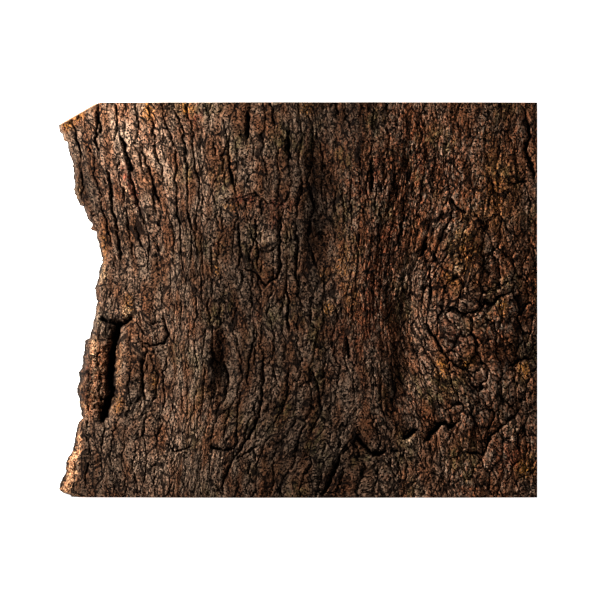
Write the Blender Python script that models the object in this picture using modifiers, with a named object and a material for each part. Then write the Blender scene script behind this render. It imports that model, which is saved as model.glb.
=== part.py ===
"""A sawn slab of virgin cork oak bark, lying on its inner face with the rugged outer face up.

The slab is drawn in millimetres and built in metres. X runs across the grain, Y along it,
as the tree grew, and Z up. The drawing's origin lies near the middle of the slab, and the
finished mesh is moved so that the middle of its underside box is the origin. The body is
grown as a height field over a grid with its plates, fissures and branch scar raised by
formulas, and is then sawn by flat planes, as the real slab was.
"""

import bmesh
import bpy
import numpy as np

MM = 0.001

# Sawn sides of the slab
RIGHT_SIDE = 238.0
TOP_SIDE = 198.0
BOTTOM_SIDE = -197.5
CORNER_CUT_START = (-200.4, 198.0)
CORNER_CUT_END = (-242.0, 174.0)
CORNER_LEAN = 0.07
CORNER_LEVEL = 27.0
SAW_MARGIN = 5.0

# Torn left edge as seen from above, top to bottom, carried on past both sawn sides
TORN_EDGE = (
    (-243, 205), (-242, 174), (-241, 168.5), (-238.5, 167.5), (-237, 160), (-233.5, 159),
    (-231.5, 147), (-228, 138), (-226.5, 119), (-226, 106), (-222, 99), (-220.5, 95),
    (-217, 94.5), (-216, 90), (-213, 82), (-208.5, 77), (-210, 72), (-208.5, 70),
    (-204.5, 69.5), (-202, 56), (-198, 42), (-199, 36), (-201.5, 30), (-202, 22),
    (-206, 12), (-203.5, 0), (-206, -18), (-209, -30), (-211, -38), (-215.5, -40),
    (-217.5, -57), (-219, -69), (-222, -72), (-221, -79), (-224, -91), (-221.5, -100),
    (-219.5, -115), (-217.5, -118), (-222.5, -122.5), (-225.5, -136), (-227, -148),
    (-231, -155.5), (-235.5, -164), (-234.5, -172), (-239.5, -181), (-242.5, -190),
    (-239, -193), (-230, -196), (-228, -205),
)
EDGE_ROUGHNESS = 0.9
RIM_HEIGHT = 7.0

# Cross-section
CROWN_HEIGHT = 45.0
LEFT_FALL = 20.0
RIGHT_FALL = 12.0
HALF_WIDTH = 222.0
INNER_ARCH = 17.0
INNER_RIM = 1.3

# Three low spots of the inner face that the slab rests on: x, y
FEET = ((216.0, 6.0), (-214.0, 150.0), (-218.0, -165.0))
FOOT_REACH = 24.0
FOOT_DEPTH = 1.3

# Plates of the outer face: width across the grain and length along it
MIDDLE_PLATE = (12.5, 27.0)
LONG_RIDGE = (8.5, 46.0)
FAN_RIDGE = (13.5, 44.0)
KNOBBLY_PLATE = (13.5, 32.0)
FURROW_HALF_WIDTH = 1.7

# Mesh fineness
GRID_STEP = 1.5
TRIANGLES = 10800

# Named cracks of the outer face: points along the crack, half width and depth
CRACKS = (
    # The long stepped crack at the lower right
    (((57, -138), (63, -143), (72, -152), (80, -155), (100, -150)), 2.4, 7.0),
    (((102, -139), (112, -132), (117, -127)), 2.6, 8.0),
    (((124, -141), (129, -137), (133, -130), (145, -122), (150, -127), (160, -121)), 3.0, 9.0),
    (((164, -150), (183, -155), (190, -137), (203, -125), (225, -105)), 1.8, 5.0),
    # The slanting crack that runs down to the lower sawn side
    (((50, -147), (42, -152), (35, -170), (22, -196)), 2.2, 6.0),
    # Cracks among the knobbly plates at the right
    (((150, -5), (160, -12), (180, -10), (186, 0), (200, 2), (218, 13)), 2.2, 6.5),
    (((208, -67), (215, -62), (238, -60)), 1.8, 5.0),
    (((125, -12), (130, -30), (150, -60), (183, -65)), 1.8, 5.0),
    (((155, 93), (150, 80), (135, 45), (139, 38)), 1.8, 4.0),
    (((150, 105), (155, 95), (168, 87)), 1.8, 4.0),
    (((225, 190), (230, 162), (225, 152), (236, 120)), 2.0, 6.0),
    # The arched crack over the middle plates and the fissures below it
    (((-75, 95), (-65, 102), (-45, 107), (-30, 97), (-15, 99)), 1.8, 4.0),
    (((-17, 92), (-20, 50), (-19, 30), (-33, 15), (-41, 26), (-61, 35)), 1.8, 4.5),
    (((-42, 87), (-41, 50), (-42, 30)), 1.6, 3.0),
    (((-4, 80), (-4, 30), (0, 10)), 1.8, 4.0),
    (((-14, 17), (-10, -2), (-10, -35)), 1.8, 4.0),
    (((-37, -45), (-37, -95), (-52, -140), (-75, -177), (-78, -195)), 1.8, 4.0),
    (((47, -35), (50, -60)), 1.8, 4.0),
    (((72, 135), (72, 107)), 2.0, 5.0),
    (((-70, 167), (-71, 147), (-66, 112)), 1.8, 4.0),
    (((-50, 190), (-52, 160)), 2.0, 5.0),
    (((-10, 175), (-11, 150), (-7, 140)), 1.8, 4.0),
    # Furrows between the long ridges at the upper left
    (((-179, 167), (-175, 155), (-166, 125)), 2.4, 6.0),
    (((-204, 190), (-199, 167)), 2.0, 5.0),
    (((-194, 135), (-187, 92), (-179, 50), (-177, 35)), 2.0, 5.5),
    (((-160, 160), (-150, 130), (-137, 95)), 1.8, 4.0),
    # The branch scar's hooked cracks and the fissure to its right
    (((-199, -16), (-194, -21), (-177, -24), (-165, -15)), 2.6, 8.0),
    (((-137, -12), (-134, -25), (-136, -44), (-160, -42)), 1.9, 5.0),
    (((-156, -57), (-157, -70), (-154, -102)), 1.9, 5.0),
)

# Swells and hollows of the outer face: x, y, height, reach in x, reach in y, turn in radians
SWELLS = (
    (28, 80, -5.5, 20, 130, 0.0),
    (75, 20, 2.5, 28, 80, 0.0),
    (108, -40, -4.5, 16, 70, -0.1),
    (172, -10, 6.0, 55, 85, 0.0),
    (-70, -72, -6.5, 14, 34, 0.0),
    (-105, -60, 4.0, 22, 110, 0.0),
    (-168, -65, 7.0, 34, 60, 0.0),
    (-130, 120, 3.0, 30, 70, 0.0),
    (55, -170, -3.0, 40, 25, 0.0),
)

# The branch scar, a deep crevice that leans to the left as it runs down: the line of its right
# lip, its depth at each distance from that lip, and how far its left flank spreads at a height
SCAR_LINE = (
    (-178, -25), (-179, -30), (-183, -45), (-184.5, -60), (-185, -75), (-184, -90),
    (-184.5, -95), (-188.5, -100), (-190.5, -111), (-194, -120), (-197, -127),
)
SCAR_PROFILE = (
    (-34, 0), (-27, 0.2), (-24, 1.4), (-20, 2.8), (-15, 5), (-10, 8.4), (-7.5, 13), (-5.5, 17),
    (-1, 18), (0.2, 12), (1.4, 8), (4, 5.2), (7.5, 2.4), (11, 0.7), (15, 0),
)
SCAR_SPREAD = (
    (0.5, -22), (0.7, -36), (0.62, -44), (0.85, -60), (1.0, -75), (1.0, -98), (0.85, -108),
    (0.6, -124),
)

TABLES = {}


def hashed(column, row, seed):
    """A fixed random number from 0 to 1 for each cell of an endless table."""
    if seed not in TABLES:
        TABLES[seed] = np.random.default_rng(seed).random((256, 256))
    return TABLES[seed][column.astype(np.int64) & 255, row.astype(np.int64) & 255]


def smooth(low, high, value):
    """An even step from 0 at low to 1 at high."""
    share = np.clip((value - low) / (high - low), 0, 1)
    return share * share * (3 - 2 * share)


def noise(x, y, seed):
    """Gradient noise between about -1 and 1, with a period of about 1 in x and y."""
    column, row = np.floor(x), np.floor(y)
    across, along = x - column, y - row
    fade_x = across ** 3 * (across * (across * 6 - 15) + 10)
    fade_y = along ** 3 * (along * (along * 6 - 15) + 10)
    total = np.zeros(np.broadcast(x, y).shape)
    for i in (0, 1):
        for j in (0, 1):
            angle = 2 * np.pi * hashed(column + i, row + j, seed)
            slope = np.cos(angle) * (across - i) + np.sin(angle) * (along - j)
            weight_x = fade_x if i else 1 - fade_x
            weight_y = fade_y if j else 1 - fade_y
            total += slope * weight_x * weight_y
    return total * 1.5


def swell(x, y, centre_x, centre_y, reach_x, reach_y, turn=0.0):
    """A round swell of height 1 that dies away over its reach."""
    dx, dy = x - centre_x, y - centre_y
    across = np.cos(turn) * dx + np.sin(turn) * dy
    along = np.cos(turn) * dy - np.sin(turn) * dx
    return np.exp(-(across / reach_x) ** 2 - (along / reach_y) ** 2)


def grain(x, y):
    """How far each point lies across the grain, which fans out at the upper left and bends
    round the swell at the right."""
    fan = 1 - smooth(-135, -85, x)
    bend = 26 * fan * (1 - smooth(20, 205, y))
    bend -= 30 * np.exp(-((x + 35) / 85) ** 2) * (1 - smooth(-200, -70, y))
    bend -= 34 * np.exp(-((x - 128) / 42) ** 2) * np.exp(-((y + 5) / 85) ** 2)
    bend += 9 * np.exp(-((x - 95) / 40) ** 2) * (1 - smooth(-200, -60, y))
    bend += 9 * np.exp(-((x + 150) / 32) ** 2) * np.exp(-((y + 70) / 45) ** 2)
    bend += 3.0 * noise(x / 60, y / 90, 11) + 1.6 * noise(x / 22, y / 30, 12)
    return x - bend


def rounded_form(x, y):
    """The outer face without its plates: a flattened piece of the trunk's round."""
    z = CROWN_HEIGHT - LEFT_FALL * np.clip((-20 - x) / HALF_WIDTH, 0, 2) ** 2
    z -= RIGHT_FALL * np.clip((x - 20) / HALF_WIDTH, 0, 2) ** 2
    for centre_x, centre_y, height, reach_x, reach_y, turn in SWELLS:
        z += height * swell(x, y, centre_x, centre_y, reach_x, reach_y, turn)
    return z + 2.2 * noise(x / 70, y / 110, 21) + 1.0 * noise(x / 30, y / 45, 22)


def furrow(distance, half_width, depth):
    """The depth of a furrow at a distance from its middle line."""
    return depth * np.exp(-(distance / half_width) ** 1.5)


def ridges(across, along, plate, seed, wander, slant):
    """Long ridges side by side, each broken across into plates.

    Gives the depth of the furrows from 0 to 1, the distance to the nearest furrow and a
    number from 0 to 1 for each plate.
    """
    wide, long = plate
    x, y = across / wide, along / long

    def side(i):
        bend = noise(i * 5.37, y * 0.55, seed) + 0.25 * noise(i * 3.1, y * 2.1, seed + 10)
        return i + wander * bend

    ridge = np.floor(x)
    for _ in range(2):
        ridge = np.where(x < side(ridge), ridge - 1, ridge)
    for _ in range(2):
        ridge = np.where(x >= side(ridge + 1), ridge + 1, ridge)
    left, right = side(ridge), side(ridge + 1)
    to_side = np.maximum(np.minimum(x - left, right - x), 0) * wide
    nearest = np.where(x - left < right - x, ridge, ridge + 1)
    strength = 0.5 + 0.5 * noise(nearest * 9.7, y * 0.9, seed + 50)
    strength += 0.3 * noise(nearest * 4.3, y * 3, seed + 60)
    lean = (x - left) / np.maximum(right - left, 0.05) - 0.5
    to_break = np.full(x.shape, 1e9)
    break_strength = np.zeros(x.shape)
    plate_row = np.full(x.shape, -1e9)
    for step in (-1, 0, 1, 2):
        row = np.floor(y) + step
        tilt = (hashed(ridge, row, seed + 30) - 0.5) * 2 * slant
        middle = row + 0.8 * (hashed(ridge, row, seed + 20) - 0.5) + tilt * lean * wide / long
        away = np.abs(y - middle) * long
        nearer = away < to_break
        to_break = np.where(nearer, away, to_break)
        break_strength = np.where(nearer, hashed(ridge, row, seed + 40), break_strength)
        plate_row = np.where(middle <= y, np.maximum(plate_row, row), plate_row)
    depth = np.maximum(
        furrow(to_side, FURROW_HALF_WIDTH, smooth(0.1, 0.8, strength)),
        furrow(to_break, FURROW_HALF_WIDTH, 0.8 * smooth(0.35, 0.8, break_strength)),
    )
    return depth, np.minimum(to_side, to_break), hashed(ridge, plate_row, seed + 70)


def knobbly_plates(across, along, plate, seed):
    """Many-sided plates round scattered middles, each given by its furrow depth, distance to
    the nearest furrow and number from 0 to 1."""
    wide, long = plate
    x, y = across / wide, along / long
    column = np.floor(x)
    best = np.full(x.shape, 1e9)
    middle_x = np.zeros(x.shape)
    middle_y = np.zeros(x.shape)
    number = np.zeros(x.shape)

    def middle(i, j):
        lift = hashed(i, i * 0 + 7, seed + 1)
        at_x = i + 0.5 + 0.85 * (hashed(i, j, seed) - 0.5)
        at_y = j + 0.5 + lift + 0.85 * (hashed(i, j, seed + 2) - 0.5)
        return at_x, at_y

    def cells():
        for i in (-1, 0, 1):
            for j in (-2, -1, 0, 1):
                yield column + i, np.floor(y) + j

    for i, j in cells():
        at_x, at_y = middle(i, j)
        away = (x - at_x) ** 2 + (y - at_y) ** 2
        nearer = away < best
        best = np.where(nearer, away, best)
        middle_x = np.where(nearer, at_x, middle_x)
        middle_y = np.where(nearer, at_y, middle_y)
        number = np.where(nearer, hashed(i, j, seed + 3), number)
    edge = np.full(x.shape, 1e9)
    for i, j in cells():
        at_x, at_y = middle(i, j)
        apart_x, apart_y = at_x - middle_x, at_y - middle_y
        apart = np.hypot(apart_x / wide, apart_y / long)
        same = apart < 1e-9
        past = ((at_x + middle_x) / 2 - x) * apart_x + ((at_y + middle_y) / 2 - y) * apart_y
        edge = np.where(same, edge, np.minimum(edge, past / np.where(same, 1, apart)))
    edge = np.maximum(edge, 0)
    return furrow(edge, FURROW_HALF_WIDTH, 1.0), edge, number


def plates(x, y):
    """The height that the plates and their furrows add to the rounded form."""
    across = grain(x, y) + 0.9 * noise(x / 9, y / 9, 41) + 0.8 * noise(x / 3.6, y / 3.6, 42)
    along = y + 2.2 * noise(x / 9, y / 9, 43) + 1.2 * noise(x / 3.5, y / 3.5, 44)
    fan = (1 - smooth(-115, -75, x)) * smooth(-5, 60, y)
    fibrous = np.clip(swell(x, y, 95, 120, 60, 90) + swell(x, y, 72, 10, 28, 75), 0, 1)
    drawn_out = np.clip(fan + 0.9 * fibrous, 0, 1)
    knobbly = np.clip(1.5 * swell(x, y, 185, -50, 62, 120), 0, 1) * (1 - drawn_out)
    kinds = (
        (1 - drawn_out - knobbly, 3.4, 1.6, ridges(across, along, MIDDLE_PLATE, 100, 0.6, 0.9)),
        (drawn_out - fan, 3.6, 1.5, ridges(across, along, LONG_RIDGE, 200, 0.75, 1.6)),
        (fan, 3.6, 1.4, ridges(across, along, FAN_RIDGE, 250, 0.65, 1.2)),
        (knobbly, 4.4, 2.6, knobbly_plates(across, along, KNOBBLY_PLATE, 3)),
    )
    uneven = 1 + 0.5 * noise(x / 45, y / 60, 81)
    z = np.zeros(x.shape)
    for share, depth, rise, (cut, edge, number) in kinds:
        crowned = 0.8 * (1 - np.exp(-edge / 2.5)) + rise * (number - 0.5)
        z += share * (crowned - depth * uneven * cut)
    return z


def to_crack(x, y, points):
    """The distance to a crack's line, and how far along it the nearest point lies, 0 to 1."""
    nearest = np.full(x.shape, 1e9)
    place = np.zeros(x.shape)
    count = len(points) - 1
    for i, ((x0, y0), (x1, y1)) in enumerate(zip(points, points[1:])):
        dx, dy = x1 - x0, y1 - y0
        share = np.clip(((x - x0) * dx + (y - y0) * dy) / (dx * dx + dy * dy), 0, 1)
        away = np.hypot(x - x0 - share * dx, y - y0 - share * dy)
        nearer = away < nearest
        nearest = np.where(nearer, away, nearest)
        place = np.where(nearer, (i + share) / count, place)
    return nearest, place


def named_cracks(x, y):
    """The depth of the cracks in the list above, which narrow towards their ends."""
    wandering_x = x + 1.4 * noise(x / 7, y / 7, 31)
    wandering_y = y + 1.4 * noise(x / 7, y / 7, 32)
    cut = np.zeros(x.shape)
    for points, half_width, depth in CRACKS:
        away, place = to_crack(wandering_x, wandering_y, points)
        taper = smooth(-0.05, 0.15, place) * (1 - smooth(0.85, 1.05, place))
        open_width = half_width * np.maximum(taper, 0.3)
        cut = np.maximum(cut, depth * taper * np.exp(-(away / open_width) ** 2))
    return cut


def down_the_slab(points, y):
    """Reads a run of points, given from top to bottom, at each height of the drawing."""
    value, height = np.array(points, float)[::-1].T
    return np.interp(y, height, value)


def scar(x, y):
    """The depth of the branch scar's crevice, steep on its right and sloping on its left."""
    away = x - down_the_slab(SCAR_LINE, y) - 1.0 * noise(x * 0, y / 8, 71)
    away = np.where(away < 0, away / down_the_slab(SCAR_SPREAD, y), away)
    ends = smooth(-130, -112, y) * (1 - smooth(-27, -17, y))
    place, depth = np.array(SCAR_PROFILE, float).T
    return ends * np.interp(away, place, depth)


def torn_edge(y):
    """Where the torn left edge lies at each height of the drawing."""
    ragged = smooth(172, 160, y)
    return down_the_slab(TORN_EDGE, y) + EDGE_ROUGHNESS * ragged * noise(y / 6, y * 0, 62)


def break_width(y):
    """How far the broken cork slopes in from the torn edge before the outer face begins."""
    width = 4.5 + 8 * (1 - smooth(-150, -118, y)) + 6 * (1 - smooth(-175, -145, y))
    width += 5 * smooth(-130, -110, y) * (1 - smooth(-40, -15, y))
    return width + 3 * smooth(-12, 0, y) * (1 - smooth(45, 70, y)) + 1.2 * noise(y / 11, y * 0, 64)


def inner_face(x, y):
    """The inner face: a shallow arch with three low spots."""
    z = INNER_RIM + INNER_ARCH * np.clip(1 - ((x - 4) / (HALF_WIDTH + 8)) ** 2, 0, 1)
    z += 0.7 * noise(x / 55, y / 80, 91) * smooth(230, 180, np.abs(x))
    for foot_x, foot_y in FEET:
        near = swell(x, y, foot_x, foot_y, FOOT_REACH, FOOT_REACH)
        z -= near * (z + FOOT_DEPTH)
    return z


def outer_face(x, y):
    """The outer face with all its relief, down to the rim of the torn edge."""
    top = rounded_form(x, y) + plates(x, y) - named_cracks(x, y) - scar(x, y)
    rim = inner_face(x, y) + RIM_HEIGHT
    inward = np.clip((x - torn_edge(y)) / break_width(y), 0, 1)
    round_over = 1 - (1 - inward) ** 1.8
    return rim + (top - rim) * round_over


def grown_slab():
    """One closed body, a grid extruded to the slab's thickness and shaped by the formulas."""
    low, high = BOTTOM_SIDE - SAW_MARGIN, TOP_SIDE + SAW_MARGIN
    far = RIGHT_SIDE + SAW_MARGIN
    cells_x = round((far - TORN_EDGE[1][0]) / GRID_STEP)
    cells_y = round((high - low) / GRID_STEP)
    bpy.ops.mesh.primitive_grid_add(x_subdivisions=cells_x, y_subdivisions=cells_y, size=1)
    bark = bpy.context.active_object
    bark.name = bark.data.name = "bark"
    solidify = bark.modifiers.new("thickness", "SOLIDIFY")
    solidify.thickness = 1.0
    solidify.offset = 1.0
    bpy.ops.object.modifier_apply(modifier=solidify.name)
    flat = np.empty(3 * len(bark.data.vertices), np.float32)
    bark.data.vertices.foreach_get("co", flat)
    u, v, level = flat.reshape(-1, 3).astype(float).T
    y = low + (v + 0.5) * (high - low)
    left = torn_edge(y)
    x = left + (u + 0.5) * (far - left)
    z = np.where(level > 0.5, outer_face(x, y), inner_face(x, y))
    bark.data.vertices.foreach_set("co", (np.stack((x, y, z), axis=1) * MM).ravel())
    bark.data.update()
    return bark


def thin_out(bark):
    """Fewer triangles, kept where the relief is strongest."""
    decimate = bark.modifiers.new("fewer faces", "DECIMATE")
    decimate.ratio = TRIANGLES / (2 * len(bark.data.polygons))
    bpy.ops.object.modifier_apply(modifier=decimate.name)


def saw(bark):
    """Cuts the straight sides and flattens the three low spots of the inner face."""
    (x0, y0), (x1, y1) = CORNER_CUT_START, CORNER_CUT_END
    lean = CORNER_LEAN * np.hypot(x1 - x0, y1 - y0)
    planes = (
        ((RIGHT_SIDE, 0, 0), (1, 0, 0)),
        ((0, TOP_SIDE, 0), (0, 1, 0)),
        ((0, BOTTOM_SIDE, 0), (0, -1, 0)),
        ((x0, y0, CORNER_LEVEL), (y1 - y0, x0 - x1, lean)),
        ((0, 0, 0), (0, 0, -1)),
    )
    mesh = bmesh.new()
    mesh.from_mesh(bark.data)
    for point, outward in planes:
        cut = bmesh.ops.bisect_plane(
            mesh,
            geom=mesh.verts[:] + mesh.edges[:] + mesh.faces[:],
            dist=1e-7,
            plane_co=[value * MM for value in point],
            plane_no=outward,
            clear_outer=True,
        )["geom_cut"]
        edges = [item for item in cut if isinstance(item, bmesh.types.BMEdge)]
        bmesh.ops.holes_fill(mesh, edges=edges, sides=0)
    bmesh.ops.dissolve_degenerate(mesh, edges=mesh.edges[:], dist=2e-5)
    bmesh.ops.triangulate(mesh, faces=mesh.faces[:])
    bmesh.ops.recalc_face_normals(mesh, faces=mesh.faces[:])
    mesh.to_mesh(bark.data)
    mesh.free()


def centre(bark):
    """Moves the mesh so that the middle of its box's underside is the origin."""
    points = np.empty(3 * len(bark.data.vertices), np.float32)
    bark.data.vertices.foreach_get("co", points)
    points = points.reshape(-1, 3)
    low, high = points.min(axis=0), points.max(axis=0)
    points -= ((low[0] + high[0]) / 2, (low[1] + high[1]) / 2, low[2])
    bark.data.vertices.foreach_set("co", points.ravel())
    bark.data.update()


def cork_bark():
    """Weathered outer cork: dark grey brown, rough and without gloss."""
    material = bpy.data.materials.new("weathered cork bark")
    material.use_nodes = True
    shader = material.node_tree.nodes["Principled BSDF"]
    shader.inputs["Base Color"].default_value = (0.058, 0.031, 0.019, 1.0)
    shader.inputs["Roughness"].default_value = 0.9
    shader.inputs["Metallic"].default_value = 0.0
    material.diffuse_color = (0.058, 0.031, 0.019, 1.0)
    return material


def main():
    for leftover in list(bpy.data.objects):
        bpy.data.objects.remove(leftover, do_unlink=True)
    bark = grown_slab()
    thin_out(bark)
    saw(bark)
    centre(bark)
    bark.data.materials.append(cork_bark())
    group = bpy.data.collections.new("piece of bark")
    bpy.context.scene.collection.children.link(group)
    for holder in list(bark.users_collection):
        holder.objects.unlink(bark)
    group.objects.link(bark)


main()
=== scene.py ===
"""The looks of a sawn slab of virgin cork oak bark that lies on its inner face.

The slab is drawn in millimetres, in the drawing that its solid was made from, and built in
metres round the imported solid: X runs across the grain, Y along it and Z up.
"""

import logging
import math
from dataclasses import dataclass
from enum import Enum
from functools import lru_cache

import bpy
import numpy as np
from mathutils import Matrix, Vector


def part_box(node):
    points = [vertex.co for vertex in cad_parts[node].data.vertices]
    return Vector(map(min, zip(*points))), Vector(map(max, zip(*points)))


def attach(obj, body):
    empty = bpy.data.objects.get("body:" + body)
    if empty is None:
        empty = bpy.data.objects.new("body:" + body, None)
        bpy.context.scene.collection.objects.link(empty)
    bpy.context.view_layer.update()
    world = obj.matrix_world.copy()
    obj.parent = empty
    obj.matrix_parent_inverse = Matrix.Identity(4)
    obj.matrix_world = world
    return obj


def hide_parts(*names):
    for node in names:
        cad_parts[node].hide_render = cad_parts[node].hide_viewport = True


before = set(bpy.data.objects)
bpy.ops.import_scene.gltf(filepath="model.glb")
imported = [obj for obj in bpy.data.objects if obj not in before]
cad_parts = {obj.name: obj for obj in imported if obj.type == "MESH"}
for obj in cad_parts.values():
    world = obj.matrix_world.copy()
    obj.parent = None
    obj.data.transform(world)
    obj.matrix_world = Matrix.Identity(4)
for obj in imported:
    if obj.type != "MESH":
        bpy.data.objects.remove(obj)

LOG = logging.getLogger("bark")
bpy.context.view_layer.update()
MM = 0.001
Field = np.ndarray
Colour = tuple[float, float, float, float]
Point = tuple[float, float]
Sizes = tuple[float, float, float]
Socket = bpy.types.NodeSocket


@lru_cache(maxsize=None)
def chance_table(seed: int) -> Field:
    """Gives the table of random numbers from 0 to 1 that belongs to a seed."""
    return np.random.default_rng(seed).random((256, 256))


@lru_cache(maxsize=None)
def slope_table(seed: int) -> tuple[Field, Field]:
    """Gives the two parts of the random slopes that belong to a seed."""
    angle = 2 * np.pi * chance_table(seed).ravel()
    return np.cos(angle), np.sin(angle)


def chance(column: Field, row: Field, seed: int) -> Field:
    """Gives a fixed random number from 0 to 1 for each cell of an endless table."""
    return chance_table(seed)[column.astype(np.int64) & 255, row.astype(np.int64) & 255]


def step(low: float, high: float, value: Field) -> Field:
    """Gives an even step from 0 where the value is low to 1 where it is high."""
    share = np.clip((value - low) / (high - low), 0, 1)
    return share * share * (3 - 2 * share)


def noise(x: Field, y: Field, seed: int) -> Field:
    """Makes gradient noise between about -1 and 1, with one wave to each unit.

    Args:
        x: Place along the first axis, in waves.
        y: Place along the second axis, in waves.
        seed: Which of the endless patterns to read.

    Returns:
        The noise at each place.
    """
    slope_x, slope_y = slope_table(seed)
    column, row = np.floor(x), np.floor(y)
    across, along = x - column, y - row
    columns = [(column.astype(np.int64) + i & 255) << 8 for i in (0, 1)]
    rows = [row.astype(np.int64) + j & 255 for j in (0, 1)]
    fade_x = across * across * across * (across * (across * 6 - 15) + 10)
    fade_y = along * along * along * (along * (along * 6 - 15) + 10)
    sides = []
    for i in (0, 1):
        near, far = (
            slope_x.take(columns[i] + rows[j]) * (across - i)
            + slope_y.take(columns[i] + rows[j]) * (along - j)
            for j in (0, 1)
        )
        sides.append(near + fade_y * (far - near))
    return 1.5 * (sides[0] + fade_x * (sides[1] - sides[0]))


def groove(away: Field, half_width: Field | float, power: float = 1.5) -> Field:
    """Gives a groove's depth from 1 on its middle line to 0 well away from it."""
    return np.exp(-(away / half_width) ** power)


@dataclass(frozen=True)
class Swell:
    """A soft oval of the drawing, in millimetres: a swell of the outer face, a hollow where its
    height is negative, or a shade or a tint, with its strength for a height."""

    x: float
    y: float
    height: float
    reach_x: float
    reach_y: float
    turn: float = 0.0

    def share(self, x: Field, y: Field) -> Field:
        """Gives 1 at the swell's middle, dying away over its reach."""
        dx, dy = x - self.x, y - self.y
        across = math.cos(self.turn) * dx + math.sin(self.turn) * dy
        along = math.cos(self.turn) * dy - math.sin(self.turn) * dx
        return np.exp(-(across / self.reach_x) ** 2 - (along / self.reach_y) ** 2)


@dataclass(frozen=True)
class Crack:
    """A crack whose course can be followed by eye: its points, half width and depth."""

    route: tuple[Point, ...]
    half_width: float
    depth: float

    def near(self, x: Field, y: Field) -> Field:
        """Tells which places are near enough for the crack to reach."""
        reach = 3.2 * self.half_width
        (low_x, low_y), (high_x, high_y) = np.min(self.route, axis=0), np.max(self.route, axis=0)
        beside = (x > low_x - reach) & (x < high_x + reach)
        return beside & (y > low_y - reach) & (y < high_y + reach)

    def cut(self, x: Field, y: Field) -> Field:
        """Gives the depth that the crack cuts at each place, less towards its ends.

        Args:
            x: Place across the slab, in millimetres.
            y: Place up the slab, in millimetres.

        Returns:
            The depth in millimetres.
        """
        nearest = np.full(x.shape, 1e9)
        place = np.zeros(x.shape)
        runs = len(self.route) - 1
        for i, ((x0, y0), (x1, y1)) in enumerate(zip(self.route, self.route[1:])):
            dx, dy = x1 - x0, y1 - y0
            share = np.clip(((x - x0) * dx + (y - y0) * dy) / (dx * dx + dy * dy), 0, 1)
            away = np.hypot(x - x0 - share * dx, y - y0 - share * dy)
            nearer = away < nearest
            nearest = np.where(nearer, away, nearest)
            place = np.where(nearer, (i + share) / runs, place)
        taper = step(-0.05, 0.15, place) * (1 - step(0.85, 1.05, place))
        return self.depth * taper * groove(nearest, self.half_width * np.maximum(taper, 0.3), 2)


LOWER_RIGHT_CRACKS = (
    Crack(((57, -138), (62, -143), (72, -152), (80, -155), (87, -150)), 2.2, 7),
    Crack(((90, -150), (100, -150)), 1.6, 5),
    Crack(((102, -139), (112, -132), (117, -127)), 2.3, 8),
    Crack(((124, -141), (129, -137), (133, -130), (138, -125), (145, -122), (150, -127),
           (160, -121)), 2.6, 9),
    Crack(((42, -152), (50, -147)), 1.3, 4),
    Crack(((42, -152), (35, -170), (27, -188), (22, -196)), 1.9, 6),
    Crack(((91, -155), (92, -170), (96, -176), (100, -170)), 1.0, 3),
    Crack(((164, -150), (172, -152), (183, -155), (190, -137), (203, -125), (215, -115),
           (225, -105)), 1.5, 5),
    Crack(((217, -178), (230, -175), (235, -170)), 1.2, 3),
)
RIGHT_CRACKS = (
    Crack(((150, -5), (160, -12), (172, -13), (180, -10), (186, 0), (190, -4), (200, 2),
           (218, 13)), 1.8, 6),
    Crack(((208, -67), (215, -62), (225, -58), (238, -60)), 1.6, 5),
    Crack(((125, -12), (130, -30), (140, -45), (150, -60), (160, -67), (175, -72),
           (183, -65)), 1.2, 4),
    Crack(((155, 93), (150, 80), (140, 60), (135, 45), (139, 38)), 1.3, 4),
    Crack(((128, 65), (125, 55), (122, 42)), 2.2, 6),
    Crack(((125, 40), (132, 39), (139, 41)), 1.3, 4),
    Crack(((150, 105), (155, 95), (162, 90), (168, 87)), 1.3, 4),
    Crack(((130, 37), (131, 20), (132, -3)), 1.1, 4),
    Crack(((225, 190), (229, 175), (230, 162), (225, 152), (232, 135), (236, 120)), 1.8, 6),
    Crack(((209, 117), (217, 117), (228, 120)), 1.3, 4),
)
MIDDLE_CRACKS = (
    Crack(((-75, 95), (-71, 100), (-65, 102), (-52, 104), (-45, 107), (-37, 102), (-30, 97),
           (-17, 95), (-15, 99)), 1.0, 3),
    Crack(((-42, 87), (-44, 65), (-41, 50), (-42, 30)), 0.9, 3),
    Crack(((-41, 50), (-32, 49), (-22, 50)), 1.2, 3.5),
    Crack(((-17, 92), (-19, 75), (-20, 50), (-19, 30), (-24, 21), (-30, 19), (-33, 15),
           (-37, 17), (-41, 26), (-50, 30), (-61, 35)), 1.2, 4),
    Crack(((-60, 80), (-61, 65), (-57, 45), (-61, 35)), 0.9, 3),
    Crack(((-4, 80), (-2, 55), (-4, 30), (0, 10)), 1.2, 4),
    Crack(((-14, 17), (-10, -2), (-12, -15), (-10, -35)), 1.2, 4),
    Crack(((-37, -45), (-36, -70), (-37, -95), (-42, -120), (-52, -140), (-65, -157),
           (-75, -177), (-78, -195)), 1.2, 4),
    Crack(((-45, -25), (-45, -40), (-50, -60), (-52, -75), (-50, -90)), 0.9, 3),
    Crack(((10, -65), (17, -80), (20, -95), (22, -110)), 0.9, 3),
    Crack(((47, -35), (49, -52), (50, -60)), 1.4, 4),
    Crack(((72, 135), (72, 122), (72, 107)), 1.6, 5),
    Crack(((-70, 167), (-71, 147), (-69, 130), (-66, 112)), 1.2, 4),
    Crack(((-50, 190), (-51, 172), (-52, 160)), 1.6, 5),
    Crack(((-10, 175), (-11, 150), (-7, 140)), 1.4, 4),
    Crack(((-135, -140), (-125, -152), (-115, -150), (-105, -145)), 0.9, 3),
    Crack(((-90, -145), (-80, -150), (-65, -149)), 1.2, 4),
    Crack(((-65, -160), (-52, -152), (-40, -145)), 0.9, 3),
)
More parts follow.
